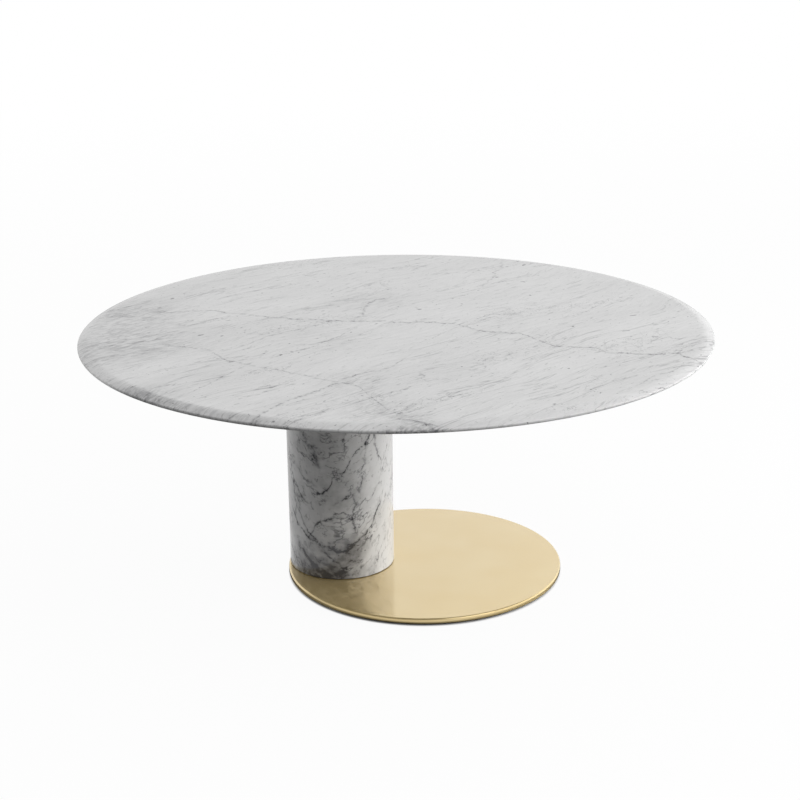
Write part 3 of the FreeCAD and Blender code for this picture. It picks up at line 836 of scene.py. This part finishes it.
def grained(name, size, colours, roughness, relief, **sockets):
    """A finish with a grain of the given size in mm along x, y and z. The noise takes the colour from the
    first hex value to the second, and the roughness from the first value to the second, and it stands as high
    as the relief in mm."""
    made, tree, shader = material(name, **sockets)
    place = add(tree, "TexCoord").outputs["Object"]
    where = add(tree, "Mapping", place, Scale=[side * MM for side in size], vector_type="TEXTURE")
    grain = add(tree, "TexNoise", where, Scale=1.0, Detail=2.0)
    colour = add(tree, "ValToRGB", grain, stops=((GRAIN_LOW, colours[0]), (GRAIN_HIGH, colours[1])))
    gloss = add(tree, "MapRange", grain, GRAIN_LOW, GRAIN_HIGH, *roughness)
    bump = add(tree, "Bump", Height=grain, Distance=relief * MM)
    connect(tree, shader, Base_Color=colour, Roughness=gloss, Normal=bump)
    return made


def coat(finish, *names):
    """Puts a finish on pieces of the CAD model."""
    for name in names:
        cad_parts[name].material_slots[0].material = finish
    print(finish.name, "on", ", ".join(names))


print("a grain goes from", GRAIN_LOW, "to", GRAIN_HIGH)

# %% Coatings and fittings
NYLON_IOR = 1.53
RUBBER_IOR = 1.52

# powder coat melts in the oven to a satin skin with a faint orange peel
powder_coat = grained("black_powder_coat", (2, 2, 2), ("#121213", "#1C1C1D"), (0.38, 0.5), 0.03)
coat(powder_coat, "top_plate", "base_plate")
# zinc plate is a cool, soft grey metal with a cloudy shine
zinc = grained("zinc_plated_steel", (6, 6, 6), ("#A9AEB4", "#C4C6C8"), (0.26, 0.42), 0.01, Metallic=1.0)
coat(zinc, "core_tube", "core_top_flange", "core_bottom_flange", "core_washers")
coat(zinc, "core_bolts", "base_bolts", "top_plate_screws")
# the lathe leaves fine rings round the brass bushes, so the grain is flat and thin
bush = grained("lathe_turned_brass", (12, 12, 0.5), ("#BE9850", "#D2B06C"), (0.24, 0.36), 0.02, Metallic=1.0)
coat(bush, "top_inserts")
# nylon is a waxy off-white plastic
nylon = grained("natural_nylon", (4, 4, 4), ("#D2CFC4", "#DEDCD3"), (0.42, 0.52), 0.02, IOR=NYLON_IOR)
coat(nylon, "upper_centring_ring", "lower_centring_ring")
# rubber takes a dull bloom
rubber = grained("black_rubber", (1.5, 1.5, 1.5), ("#161616", "#212121"), (0.62, 0.78), 0.03, IOR=RUBBER_IOR)
coat(rubber, "column_top_gasket", "column_bottom_gasket")
# felt is a mat of fibres, which catch light at a low angle
felt = grained("pressed_felt", (1.2, 1.2, 0.8), ("#232326", "#37373B"), (0.9, 1.0), 0.2, Sheen_Weight=0.4)
felt_pads.data.materials.append(felt)
print(felt.name, "on", felt_pads.name)

# %% [markdown]
# ## The floor
# The table stands on white paper that runs back to a white wall. A plane would do, but a wide disc has no
# corners that could show. It lies just clear of the pads, so that no two faces share a plane.

# %% Lay the floor
FLOOR_RADIUS = 40.0
FLOOR_SIDES = 96
FLOOR_RINGS = 40
FLOOR_HEIGHT = -0.1 * MM

floor = turned(
    "floor",
    (run((0, FLOOR_HEIGHT), (FLOOR_RADIUS, FLOOR_HEIGHT), FLOOR_RINGS), [(FLOOR_RADIUS, FLOOR_HEIGHT)]),
    [(0, 0)],
    FLOOR_SIDES,
)
floor.data.flip_normals()
print("the floor faces up:", floor.data.polygons[0].normal.z > 0)

# %% [markdown]
# The paper glows a little for the camera, so that it stays white in the picture; the rest of its tone is
# real, and carries the soft shadow. Under the rim of the brass there is a narrow gap where no light gets in,
# and there the glow stops.
# In the brass and in the polished stone the floor shows as a white ring round the base and as a paler half
# behind it. The ring starts a little way out, which draws the dark line along the foot of the rim. The paper
# gives little light back to the table, so the underside of the top stays in shade.
# From below the paper is see-through, and right under the base it lets light up, so that a view from below
# shows the plate, the bolts and the pads.

# %% Glow of the paper
GAP_START = base_radius - 4 * MM  # where the gap under the rim ends and the glow starts
GAP_END = base_radius + 2 * MM
GLOW_NEAR = 0.95
GLOW_FAR = 1.0
GLOW_SPAN = (0.8, 6.0)  # distances in m over which the glow goes from near to far
RING_START = (base_radius + 10 * MM, base_radius + 18 * MM)
RING_END = (base_radius + 80 * MM, base_radius + 200 * MM)
RING_GLOW = 0.95
FRONT_GLOW = 0.1
BACK_GLOW = 0.7
BACK_SPAN = (-0.1, 0.25)  # depths in m over which the front half goes over to the back half
PALE = 0.8  # grey of the paper for the camera
BOUNCE = 0.07  # grey of the paper for the light that it gives back
WINDOW = (base_radius - 20 * MM, base_radius - 40 * MM)  # the clear patch, from its rim inwards
print("the mirrored ring is from", round(RING_START[0], 3), "to", round(RING_END[1], 3), "m from the axis")

# %% White paper
paper, tree, shader = material("white_paper")
tree.nodes.remove(shader)
rays = add(tree, "LightPath").outputs
place = add(tree, "TexCoord").outputs["Object"]
depth = add(tree, "SeparateXYZ", place).outputs["Y"]
reach = add(tree, "VectorMath", place, (base_x, 0, 0), operation="DISTANCE").outputs["Value"]
rim = add(tree, "MapRange", reach, GAP_START, GAP_END, **SOFT)
glow = add(tree, "MapRange", reach, *GLOW_SPAN, GLOW_NEAR, GLOW_FAR, **SOFT)
shown = add(tree, "Math", rim, glow, operation="MULTIPLY")
shown = add(tree, "Math", shown, rays["Is Camera Ray"], operation="MULTIPLY")
start = add(tree, "MapRange", reach, *RING_START, **SOFT)
ring = add(tree, "MapRange", reach, *RING_END, RING_GLOW, FRONT_GLOW, **SOFT)
half = add(tree, "MapRange", depth, *BACK_SPAN, FRONT_GLOW, BACK_GLOW, **SOFT)
lit = add(tree, "Math", ring, half, operation="MAXIMUM")
mirrored = add(tree, "Math", start, lit, operation="MULTIPLY")
share = add(tree, "Math", mirrored, rays["Is Glossy Ray"], shown, operation="MULTIPLY_ADD")
grey = add(tree, "MapRange", rays["Is Camera Ray"], 0.0, 1.0, BOUNCE, PALE)
skin = add(tree, "MixShader", share, add(tree, "BsdfDiffuse", grey), add(tree, "Emission"))
below = add(tree, "NewGeometry").outputs["Backfacing"]
window = add(tree, "MapRange", reach, *WINDOW)
unseen = add(tree, "Math", 1.0, rays["Is Camera Ray"], operation="SUBTRACT")
clear = add(tree, "Math", window, unseen, below, operation="MULTIPLY_ADD")
surface = add(tree, "MixShader", clear, skin, add(tree, "BsdfTransparent"))
connect(tree, tree.nodes["Material Output"], Surface=surface)
floor.data.materials.append(paper)
print("nodes in the paper:", len(tree.nodes))

# %% [markdown]
# ## The studio
# The light is soft and comes from all round, but not evenly: the wall behind is white, the right is
# brightest, the left is dimmer, and the side of the camera is nearly dark. That is what models the column.
# For the camera itself the whole room is white.

# %% World
# axis, the values between which a direction turns to that side, and the strength before and after
STUDIO_SIDES = (
    ("Y", 0.0, 0.45, 0.3, 1.0),  # from the side of the camera to the wall behind
    ("X", 0.1, 0.7, 0.0, 1.2),  # right
    ("X", -0.1, -0.7, 0.0, 0.6),  # left
    ("Z", 0.45, 0.75, 0.0, 0.2),  # ceiling
)

world = bpy.data.worlds.new("studio")
bpy.context.scene.world = world
world.use_nodes = True
tree = world.node_tree
towards = add(tree, "SeparateXYZ", add(tree, "TexCoord").outputs["Generated"]).outputs
strength = add(tree, "LightPath").outputs["Is Camera Ray"]
for axis, *span in STUDIO_SIDES:
    side = add(tree, "MapRange", towards[axis], *span, **SOFT)
    strength = add(tree, "Math", strength, side, operation="MAXIMUM")
tree.nodes["Background"].inputs["Color"].default_value = linear("#FFFFFF")
connect(tree, tree.nodes["Background"], Strength=strength)
bpy.context.scene.view_settings.view_transform = "Standard"
print("sides of the studio:", len(STUDIO_SIDES))

# %% [markdown]
# ## The lamps
# Four softboxes shape the light. One stands high at the front right and lights the upper face. A wide one on
# the right gives the column its bright side, and a low strip below it reaches under the edge of the top. A
# small one on the left keeps the column's other side from going black. Only the first one is mirrored in the
# polished pieces, because the others would draw hard rectangles on them.

# %% Lamps
# place in m, the point that it faces, width and height in m, watts, and whether polished pieces mirror it
LAMPS = {
    "front_softbox": ((1.4, -1.4, 2.2), (0, 0, 0.4), (1.8, 1.4), 16, True),
    "right_softbox": ((2.4, 0.1, 0.55), (0, 0.1, 0.45), (3.2, 1.3), 46, False),
    "right_strip": ((2.2, 0.0, 0.16), (0.3, -0.2, 0.4), (2.4, 0.3), 13, False),
    "left_softbox": ((-2.4, -0.2, 0.35), (0, -0.1, 0.3), (1.6, 0.6), 11, False),
}

for name, (stand, aim, (width, height), watts, in_mirrors) in LAMPS.items():
    lamp = bpy.data.lights.new(name, "AREA")
    lamp.shape = "RECTANGLE"
    lamp.size = width
    lamp.size_y = height
    lamp.energy = watts
    holder = bpy.data.objects.new(name, lamp)
    holder.location = stand
    holder.rotation_euler = (Vector(aim) - Vector(stand)).to_track_quat("-Z", "Y").to_euler()
    holder.visible_camera = False
    holder.visible_glossy = in_mirrors
    bpy.context.scene.collection.objects.link(holder)
    print(name, "watts:", watts)
